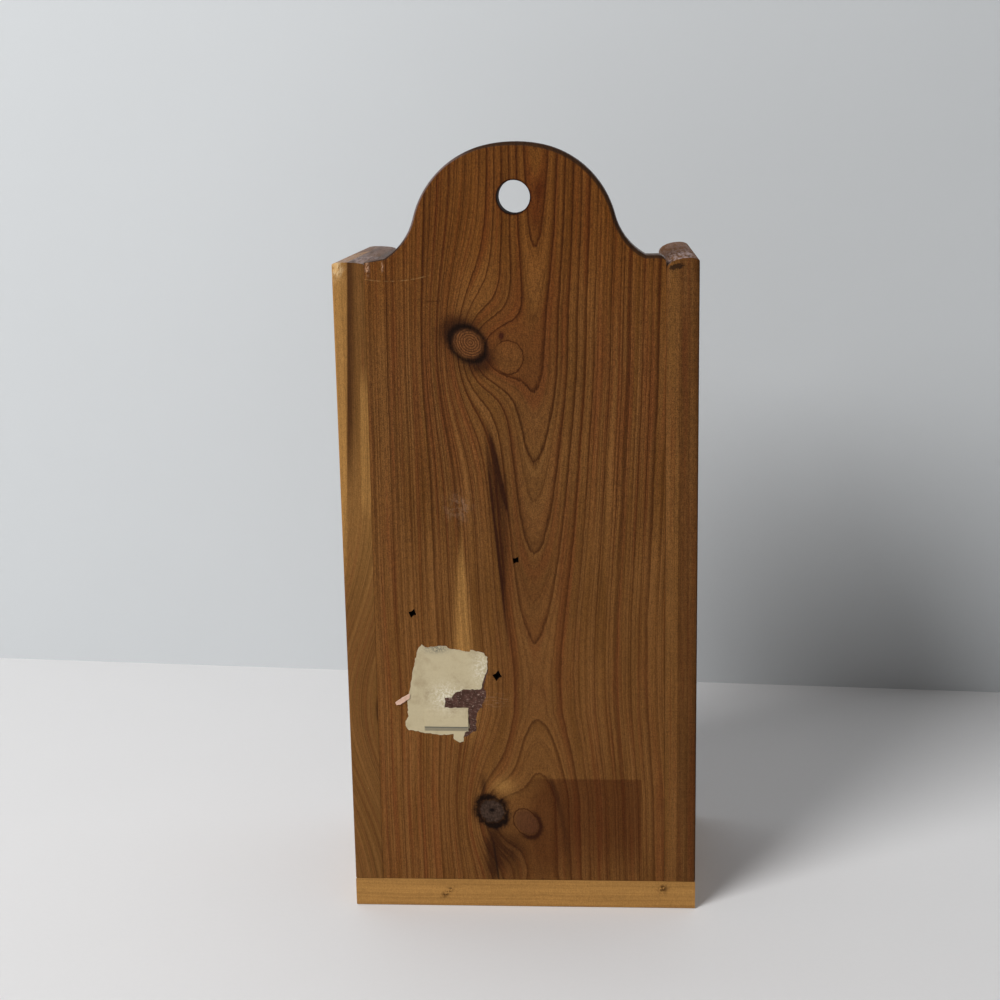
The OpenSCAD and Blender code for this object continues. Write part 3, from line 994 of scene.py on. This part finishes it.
def back_half():
    """Half of the back board's outline on +x, from its foot to the top of the arch."""
    crown_z = ARCH_TOP - CROWN_R
    haunch_x = ARCH_W / 2 - HAUNCH_R
    haunch_z = crown_z + math.sqrt((CROWN_R - HAUNCH_R) ** 2 - haunch_x ** 2)
    flare_z = SHOULDER_Z - FLARE_DIP + FLARE_R
    flare_x = haunch_x + math.sqrt((HAUNCH_R + FLARE_R) ** 2 - (flare_z - haunch_z) ** 2)
    neck_x = flare_x - math.sqrt(FLARE_R ** 2 - (FLARE_R - FLARE_DIP) ** 2)
    neck_angle = math.atan2(SHOULDER_Z - flare_z, neck_x - flare_x)
    low_angle = math.atan2(flare_z - haunch_z, flare_x - haunch_x)
    high_angle = math.atan2(haunch_z - crown_z, haunch_x)
    corners = [Vector((INNER_X, FOOT_Z)), Vector((INNER_X, SHOULDER_Z)), Vector((neck_x, SHOULDER_Z))]
    flare = arc((flare_x, flare_z), FLARE_R, neck_angle, low_angle - math.pi, FLARE_STEPS)
    haunch = arc((haunch_x, haunch_z), HAUNCH_R, low_angle, high_angle, HAUNCH_STEPS)
    crown = arc((0, crown_z), CROWN_R, high_angle, math.pi / 2, CROWN_STEPS)
    return corners + flare + haunch + crown


def back_outline():
    """The whole outline. The seam leans at +x, and both shoulders are worn."""
    half = back_half()
    far = [Vector((-p.x, p.y)) for p in half[-2:1:-1]]
    round_at = Vector((CORNER_WEAR - INNER_X, SHOULDER_Z - CORNER_WEAR))
    far.append(round_at + Vector((0, CORNER_WEAR)))
    far += arc(round_at, CORNER_WEAR, math.pi / 2, math.pi, CORNER_STEPS)
    far.append(Vector((-INNER_X, FOOT_Z)))
    near = [p.copy() for p in half]
    near[0].x += SEAM_LEAN
    near[1].y -= SHOULDER_WEAR
    return divided(near + far)


def back_ease(p):
    """The arch is rounded over by hand, and the seams are only broken."""
    share = min(1.0, max(0.0, (p.y - SHOULDER_Z + ARCH_EASE_START) / ARCH_EASE_RISE))
    left = min(1.0, max(0.0, p.x / ARCH_EASE_TURN))
    arch = ARCH_EASE + (ARCH_EASE_LEFT - ARCH_EASE) * left
    radius = SEAM_EASE + (arch - SEAM_EASE) * share
    return Vector((radius, radius)), radius


def even_ease(radius):
    """The same small round on every edge of an outline."""
    def ease(p):
        return Vector((radius, radius)), radius
    return ease


def side_ease(crown, reach, edge):
    """Eased edges of a side, whose top falls by the crown over a share of its thickness."""
    def ease(p):
        if p.y > SIDE_HIGH.z - CLOSE:
            return Vector((edge, crown)), reach
        return Vector((edge, edge)), edge / SIDE_T
    return ease


def pin_hole(u, z, size, turn):
    """Mouth of an old pin hole, a rough diamond."""
    found = []
    for i, share in enumerate(PIN_HOLE_REACH):
        angle = math.radians(turn) + 2 * math.pi * i / len(PIN_HOLE_REACH)
        found.append(Vector((-u + size * share * math.cos(angle), z + size * share * math.sin(angle))))
    return found


def nail_places(node):
    """Middles of the nails of one node, read from its solids."""
    bm = bmesh.new()
    bm.from_mesh(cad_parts[node].data)
    bmesh.ops.remove_doubles(bm, verts=bm.verts, dist=CLOSE * MM)
    left = set(bm.verts)
    middles = []
    while left:
        grown = [left.pop()]
        for vert in grown:
            for edge in vert.link_edges:
                other = edge.other_vert(vert)
                if other in left:
                    left.remove(other)
                    grown.append(other)
        corner = [Vector(map(pick, zip(*(v.co / MM for v in grown)))) for pick in (min, max)]
        middles.append((corner[0] + corner[1]) / 2)
    bm.free()
    return sorted(middles, key=tuple)


def back_board():
    plate = Plate(facing(1))
    plate.wall(back_outline(), BACK_LOW.y, WALL_Y, back_ease)
    bore = circle((0, HOLE_Z), HOLE_R, HOLE_STEPS)
    plate.wall(bore, BACK_LOW.y, WALL_Y, even_ease(HOLE_EASE), into=-1.0)
    for hole in PIN_HOLES:
        plate.dent("high", pin_hole(*hole), PIN_HOLE_FLOORS, WALL_Y, -1)
    piece(plate.close(), "back_panel", "case", back_material(), ["back_board"])


def side_board(name, node, side, lean, crowns, material):
    """A side with a crowned top, and its nails on the outer face."""
    outline = divided(rectangle(SIDE_LOW.yz, SIDE_HIGH.yz), SIDE_EDGE)
    ease_in = side_ease(crowns[0], CROWN_PEAK, SEAM_EASE)
    ease_out = side_ease(crowns[1], 1.0 - CROWN_PEAK, CASE_EASE)

    def place(a, b, height):
        share = (SIDE_HIGH.z - b) / (SIDE_HIGH.z - SIDE_LOW.z)
        inner = INNER_X + lean * share
        return Vector((side * (inner + (OUTER_X - inner) * height), a, b))

    plate = Plate(place)
    plate.wall(outline, 0.0, 1.0, ease_in, ease_out)
    for nail in nail_places(node + "_nails"):
        mouth = circle(nail.yz, NAIL_HEAD_D / 2, NAIL_STEPS)
        plate.dent("high", mouth, [(NAIL_RECESS / SIDE_T, 1.0)], 1.0, -1)
    piece(plate.close(), name, "case", material, [node])


def front_board():
    outline = rectangle(FRONT_LOW.xz, FRONT_HIGH.xz)
    outline[1].x += SEAM_LEAN
    plate = Plate(facing(1))
    plate.wall(divided(outline), FRONT_LOW.y, FRONT_HIGH.y, even_ease(SEAM_EASE))
    piece(plate.close(), "front_panel", "case", front_material(), ["front_board"])


def bottom_board():
    outline = divided(rectangle(BOTTOM_LOW.xy, BOTTOM_HIGH.xy))
    plate = Plate(facing(2))
    plate.wall(outline, BOTTOM_LOW.z, BOTTOM_HIGH.z, even_ease(CASE_EASE))
    for nail in nail_places("bottom_nails"):
        mouth = circle(nail.xy, NAIL_HEAD_D / 2, NAIL_STEPS)
        plate.dent("low", mouth, [(NAIL_RECESS, 1.0)], BOTTOM_LOW.z, 1)
    piece(plate.close(), "bottom_panel", "case", bottom_material(), ["bottom_board"])


def lid_board():
    """The lid's section lies across y and z, with a round nose at the front."""
    nose_y = LID_LOW.y + LID_NOSE_R
    rear_y = LID_HIGH.y - LID_CHAMFER
    low_nose = arc((nose_y, LID_LOW.z + LID_NOSE_R), LID_NOSE_R, -math.pi, -math.pi / 2, NOSE_STEPS)
    high_nose = arc((nose_y, LID_HIGH.z - LID_NOSE_R), LID_NOSE_R, math.pi / 2, math.pi, NOSE_STEPS)
    tail = [Vector((rear_y, LID_LOW.z)), Vector((LID_HIGH.y, LID_LOW.z + LID_CHAMFER)),
            Vector((LID_HIGH.y, LID_HIGH.z - LID_CHAMFER)), Vector((rear_y, LID_HIGH.z))]
    outline = low_nose + tail + [Vector((nose_y, LID_HIGH.z))] + high_nose
    plate = Plate(facing(0))
    plate.wall(divided(outline), LID_LOW.x, LID_HIGH.x, even_ease(SEAM_EASE))
    piece(plate.close(), "lid_panel", "lid", lid_material(), ["lid"])


# Metal and grit
# Striker strip: wear of its torn end and of its other edges, their waves and easing
STRIKER_TORN = 0.5
STRIKER_WORN = 0.12
STRIKER_WAVE = 0.1
STRIKER_EASE = 0.15
STRIKER_SEED = 5


def metal_material(name, clean, dull, roughness):
    """Aged metal: cloudy tarnish, fine drawn lines and pits."""
    face = Surface(name, clean)
    x, y, z = face.at
    cloud = noise((x * 0.5, y * 0.5, z * 0.5), 4.0, 0.65)
    drawn = noise((x * 0.8, y * 9.0, z * 9.0))
    share = step(cloud + 0.2 * drawn, -0.12, 0.2)
    face.shader.inputs["Metallic"].default_value = 1.0
    face.coat(dull, share)
    face.height = drawn - 0.8 * share
    return face.finish(roughness + 0.3 * share, sheen=0.5, relief=0.02)


def dress_metal():
    brass = metal_material("aged_brass", paint(196, 154, 84), paint(118, 84, 44), 0.3)
    steel = metal_material("dull_steel", paint(122, 114, 106), paint(70, 52, 42), 0.45)
    screw = metal_material("screw_brass", paint(168, 128, 66), paint(74, 52, 30), 0.36)
    metals = {"leaf": brass, "pin": brass, "screws": screw, "nails": steel}
    for name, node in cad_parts.items():
        metal = metals.get(name.split("_")[-1])
        if metal:
            node.data.materials.clear()
            node.data.materials.append(metal)


def grit_material():
    """Brown grit, with pale strokes and a rubbed middle."""
    face = Surface("striking_grit", paint(66, 40, 31))
    x, y, z = face.at
    grain = noise((x * 2.6, y * 2.6, z * 2.6), 3.0, 0.7)
    rubbed = noise((x * 0.14, y, z * 0.4), 3.0, 0.6)
    face.coat(paint(124, 84, 60), step(grain + 0.5 * rubbed, -0.05, 0.3))
    streaks = noise((x * 0.09, y, z * 1.5 + x * 0.22), 3.0, 0.7)
    face.coat(paint(166, 116, 90), step(streaks, 0.1, 0.26) * 0.7)
    worn = window(x, -20.0, 22.0, 12.0) * window(z, 26.5, 36.5, 4.0) * step(rubbed, -0.15, 0.15)
    face.coat(paint(52, 34, 28), worn * 0.45)
    face.height = grain
    return face.finish(0.85 + 0.2 * grain, sheen=0.12, relief=0.25)


def striker():
    """Abrasive paper with one torn end and a gritty face."""
    draw = np.random.default_rng(STRIKER_SEED)
    outline = divided(rectangle(STRIKER_LOW.xz, STRIKER_HIGH.xz), GRIT_EDGE)
    for p in outline:
        wear = STRIKER_TORN if p.x > STRIKER_HIGH.x - CLOSE else STRIKER_WORN
        p.x = min(STRIKER_HIGH.x, p.x - wear * draw.random())
        p.y += STRIKER_WAVE * (draw.random() - 0.5)
    plate = Plate(facing(1))
    plate.wall(outline, STRIKER_LOW.y, STRIKER_HIGH.y, even_ease(STRIKER_EASE))
    piece(plate.close(), "striking_paper", "case", grit_material(), ["striker_strip"])


# Label: torn paper on the back. Outlines are u and z, clockwise as seen
LABEL_OUTLINE = [
    (-30.0, 85.8), (-29.0, 84.8), (-22.7, 85.3), (-21.8, 84.4), (-15.5, 83.4), (-15.0, 84.0),
    (-11.3, 83.0), (-10.2, 81.7), (-10.4, 77.7), (-12.1, 72.9), (-12.1, 71.7), (-17.7, 71.5),
    (-20.0, 70.5), (-21.3, 69.1), (-23.4, 68.8), (-23.5, 65.6), (-16.4, 65.5), (-16.2, 59.2),
    (-17.8, 57.0), (-18.1, 54.9), (-19.1, 54.4), (-20.9, 55.7), (-21.1, 57.3), (-25.2, 56.8),
    (-34.9, 58.5), (-35.8, 60.7), (-34.8, 62.9), (-34.9, 66.9), (-32.8, 77.6), (-31.4, 84.0),
]
GLUE_OUTLINE = [
    (-29.8, 85.0), (-15.0, 83.2), (-10.7, 81.8), (-10.2, 77.5), (-11.6, 72.5), (-10.8, 69.5),
    (-12.2, 65.8), (-13.9, 64.0), (-14.2, 58.6), (-17.0, 56.4), (-19.0, 55.6), (-21.5, 58.0),
    (-34.3, 59.4), (-34.9, 61.0), (-34.0, 67.0), (-31.0, 83.4),
]
STRAND_OUTLINE = [
    (-34.3, 69.9), (-34.2, 68.8), (-37.2, 66.8), (-38.1, 66.6), (-38.4, 67.3), (-36.4, 68.6),
]
LABEL_T = 0.14
GLUE_T = 0.05
STRAND_T = 0.4
# Easing of a scrap, as a share of its thickness
SCRAP_EASE = 0.4
# Fold along the label's foot: ends, section as z and height, and lift at the low end
FLAP_ENDS = (-29.8, -16.4)
FLAP_SECTION = [(65.4, 0.1), (65.2, 0.17), (60.3, 0.8), (59.7, 0.78), (58.1, 0.2), (58.1, 0.1)]
FLAP_LIFT = 0.35
FLAP_STEPS = 14
FLAP_SEED = 14
# Places where the paper's face is scraped off: weight, middle and reach
SCRAPED = [(1.0, (-22.5, 69.0), (4.5, 3.6)), (0.7, (-12.0, 78.0), (2.5, 5.0))]
PAPER_FIBRE = paint(214, 207, 188)
# Grey of grime, also used for the painted shade under the fold
PAPER_GREY = paint(84, 84, 76)


def paper_material(name, clean, soiled):
    """Old paper: cloudy soiling, a felted surface, painted shade under the fold and pale torn edges."""
    face = Surface(name, clean)
    x, y, z = face.at
    soil = noise((x * 0.16, y, z * 0.16), 4.0, 0.65)
    felt = noise((x * 1.8, y, z * 1.8), 3.0, 0.75)
    face.coat(soiled, step(soil, -0.05, 0.28))
    scraped = patches(-x, z, SCRAPED) * step(felt, -0.1, 0.15)
    face.coat(PAPER_FIBRE, lesser(scraped, 0.8))
    grey = 1.2 * bell(-x, z, (-25.6, 84.5), (3.8, 1.4)) * step(felt, -0.15, 0.1)
    fold = window(-x, FLAP_ENDS[0], FLAP_ENDS[1], 0.3)
    # Painted shade on the fold's lower facet, which faces down.
    fold_shade = fold * (0.6 * window(z, 58.2, 59.6, 0.2) + 0.7 * window(z, 59.3, 59.6, 0.1))
    face.coat(PAPER_GREY, lesser(grey * 0.75 + fold_shade, 0.95))
    face.lighten(1.0 + 0.2 * felt)
    face.coat(PAPER_FIBRE, face.attribute("rim") * 0.5)
    face.height = felt
    return face.finish(0.75 + 0.2 * soil, sheen=0.2, relief=0.04)


def glue_material():
    """Dried glue with skinned paper in it, scratched across."""
    face = Surface("dried_glue", paint(80, 53, 44))
    x, y, z = face.at
    mottle = noise((x * 0.7, y, z * 0.7), 4.0, 0.7)
    scrape = noise((x * 0.45 + z * 0.3, y, z * 2.4 - x * 0.4), 3.0, 0.7)
    face.coat(paint(52, 31, 22), step(mottle, -0.2, 0.2))
    flecks = noise((x * 1.5, y, z * 1.5), 3.0, 0.7)
    face.coat(paint(152, 122, 112), step(scrape, 0.06, 0.26) * 0.6)
    face.coat(paint(168, 146, 132), step(flecks + 0.4 * scrape, 0.1, 0.2) * 0.7)
    face.height = mottle + scrape
    return face.finish(0.6 + 0.3 * mottle, sheen=0.15, relief=0.05)


def torn(points, rough, seed):
    """A hand-torn version of an outline given as u and z."""
    draw = np.random.default_rng(seed)
    outline = divided([Vector((-u, z)) for u, z in reversed(points)], TORN_EDGE)
    return [p + Vector(draw.uniform(-rough, rough, 2)) for p in outline]


def scrap(name, points, height, material, rough, seed):
    """A flat torn piece stuck to the back."""
    plate = Plate(facing(1))
    plate.wall(torn(points, rough, seed), WALL_Y, WALL_Y + height, even_ease(SCRAP_EASE * height))
    piece(plate.close(), name, "case", material)


def label_flap(material):
    """The fold along the label's foot, higher to the viewer's right."""
    draw = np.random.default_rng(FLAP_SEED)
    bm = bmesh.new()
    rings = []
    for i in range(FLAP_STEPS + 1):
        share = i / FLAP_STEPS
        u = FLAP_ENDS[0] + (FLAP_ENDS[1] - FLAP_ENDS[0]) * share
        lift = (FLAP_LIFT + (1.0 - FLAP_LIFT) * share) * draw.uniform(0.85, 1.1)
        sway = draw.uniform(-0.08, 0.08)
        ring = []
        for z, height in FLAP_SECTION:
            lifted = LABEL_T + (height - LABEL_T) * (lift if height > LABEL_T else 1.0)
            ring.append(bm.verts.new(Vector((-u, WALL_Y + lifted, z + sway)) * MM))
        rings.append(ring)
    for first, second in zip(rings, rings[1:]):
        band(bm, first, second)
    bm.faces.new(rings[0])
    bm.faces.new(rings[-1])
    bmesh.ops.recalc_face_normals(bm, faces=bm.faces)
    piece(bm, "label_flap", "case", material)


def label():
    paper = paper_material("label_paper", clean=paint(178, 164, 133), soiled=paint(156, 140, 110))
    backing = paper_material("label_backing", clean=paint(206, 170, 150), soiled=paint(180, 142, 122))
    scrap("label_glue", GLUE_OUTLINE, GLUE_T, glue_material(), rough=0.3, seed=12)
    scrap("paper_label", LABEL_OUTLINE, LABEL_T, paper, rough=0.17, seed=11)
    scrap("label_strand", STRAND_OUTLINE, STRAND_T, backing, rough=0.08, seed=13)
    label_flap(paper)


# Camera, floor and light

CAMERA_AT = Vector((-26.9, 510.44, 234.63))
# Yaw, pitch and roll in degrees
CAMERA_TURN = (3.92, -12.43, -1.08)
LENS = 58.75
# Floor and backdrop: how far they reach, and two points of the seam between them
FLOOR_REACH = 4000.0
BACKDROP_REACH = 1500.0
BACKDROP_LEFT = Vector((199.0, -204.0, 0.0))
BACKDROP_RIGHT = Vector((-141.0, -171.0, 0.0))
# Light of the sky, then each lamp: place, aim, size and watts
SKY_LEVEL = 0.21
KEY_LAMP = ((1150.0, 1300.0, 1250.0), (0.0, 0.0, 100.0), 1050.0, 43.0)
FILL_LAMP = ((-750.0, -1200.0, 500.0), (0.0, 0.0, 110.0), 900.0, 8.0)


def camera():
    yaw, pitch, roll = map(math.radians, CAMERA_TURN)
    level = math.cos(pitch)
    forward = Vector((math.sin(yaw) * level, -math.cos(yaw) * level, math.sin(pitch)))
    turn = forward.to_track_quat("-Z", "Y") @ Quaternion((0, 0, 1), roll)
    lens = bpy.data.cameras.new("view")
    lens.lens = LENS
    lens.sensor_width = 36.0
    lens.clip_start = 0.01
    made = placed("view", lens)
    made.matrix_world = Matrix.LocRotScale(CAMERA_AT * MM, turn, None)
    bpy.context.scene.camera = made


def stage_material(name, colour, grain, painted_shade=0.0):
    """Plain matt stage. Towards the viewer's right it carries painted shade of the lamp's falloff, as deep
    as its last argument.
    """
    face = Surface(name, colour)
    x, y, z = face.at
    mottle = noise((x * 0.01, y * 0.01, z * 0.01), 3.0)
    fine = noise((x * 0.6, y * 0.6, z * 0.6))
    face.lighten(1.0 + 0.03 * mottle + grain * fine - painted_shade * step(x, 150.0, -250.0))
    return face.finish(roughness=0.8, sheen=0.2)


def mix_shaders(share, first, second, output):
    """Sends the first shader to the output at a share of 0, and the second at 1."""
    node = share.tree.nodes.new("ShaderNodeMixShader")
    for socket, value in zip(node.inputs, (share, Wire(first), Wire(second))):
        feed(socket, value)
    feed(output, Wire(node.outputs[0]))


def open_from_behind(material):
    """Lets a view from behind the backdrop through to the box."""
    nodes = material.node_tree.nodes
    output = nodes["Material Output"].inputs["Surface"]
    behind = Wire(nodes.new("ShaderNodeNewGeometry").outputs["Backfacing"])
    clear = nodes.new("ShaderNodeBsdfTransparent").outputs[0]
    mix_shaders(behind, output.links[0].from_socket, clear, output)
    return material


def sheet_of_stage(name, corners, material):
    mesh = bpy.data.meshes.new(name)
    mesh.from_pydata([c * MM for c in corners], [], [tuple(range(len(corners)))])
    mesh.materials.append(material)
    made = placed(name, mesh)
    made.visible_shadow = False
    made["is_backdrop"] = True


def stage():
    """Pale floor and a pale backdrop that stands behind the box, a little askew."""
    floor = stage_material("pale_floor", paint(227, 226, 226), grain=0.02)
    # The backdrop's darkening towards the viewer's right is painted shade.
    wall = stage_material("pale_backdrop", paint(195, 198, 200), grain=0.01, painted_shade=0.12)
    corners = rectangle((-FLOOR_REACH, -FLOOR_REACH), (FLOOR_REACH, FLOOR_REACH))
    sheet_of_stage("floor", [c.to_3d() for c in corners], floor)
    along = (BACKDROP_LEFT - BACKDROP_RIGHT).normalized() * BACKDROP_REACH
    left = BACKDROP_LEFT + along
    right = BACKDROP_RIGHT - along
    up = Vector((0, 0, BACKDROP_REACH))
    sheet_of_stage("backdrop", [left, right, right + up, left + up], open_from_behind(wall))


def area_light(name, at, aim, size, watts):
    lamp = bpy.data.lights.new(name, "AREA")
    lamp.shape = "DISK"
    lamp.size = size * MM
    lamp.energy = watts
    made = placed(name, lamp)
    made.location = Vector(at) * MM
    made.rotation_euler = (Vector(aim) - Vector(at)).to_track_quat("-Z", "Y").to_euler()
    return made


def fill_light():
    """A weak lamp that lights the box alone, so that the stage has one shadow."""
    lamp = area_light("fill", *FILL_LAMP)
    box = bpy.data.collections.new("box_pieces")
    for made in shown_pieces():
        box.objects.link(made)
    lamp.light_linking.receiver_collection = box


def light():
    """A large lamp, and a weak sky that looks pale where it is seen."""
    world = bpy.data.worlds.new("studio")
    world.use_nodes = True
    nodes = world.node_tree.nodes
    sky = nodes["Background"]
    sky.inputs["Color"].default_value = (1.0, 1.0, 1.0, 1.0)
    sky.inputs["Strength"].default_value = SKY_LEVEL
    seen = nodes.new("ShaderNodeBackground")
    seen.inputs["Color"].default_value = paint(212, 214, 216)
    path = nodes.new("ShaderNodeLightPath")
    rays = [Wire(path.outputs[f"Is {kind} Ray"]) for kind in ("Camera", "Glossy", "Transmission")]
    shown = greater(greater(rays[0], rays[1]), rays[2])
    mix_shaders(shown, sky.outputs[0], seen.outputs[0], nodes["World Output"].inputs["Surface"])
    bpy.context.scene.world = world
    area_light("key", *KEY_LAMP)
    bpy.context.scene.view_settings.view_transform = "Standard"


camera()
stage()
light()
back_board()
side_board("knotty_side", "right_side", 1, SEAM_LEAN, WORN_CROWNS, knotty_side_material())
side_board("straight_side", "left_side", -1, 0.0, CROWNS, straight_side_material())
front_board()
bottom_board()
lid_board()
striker()
label()
dress_metal()
fill_light()
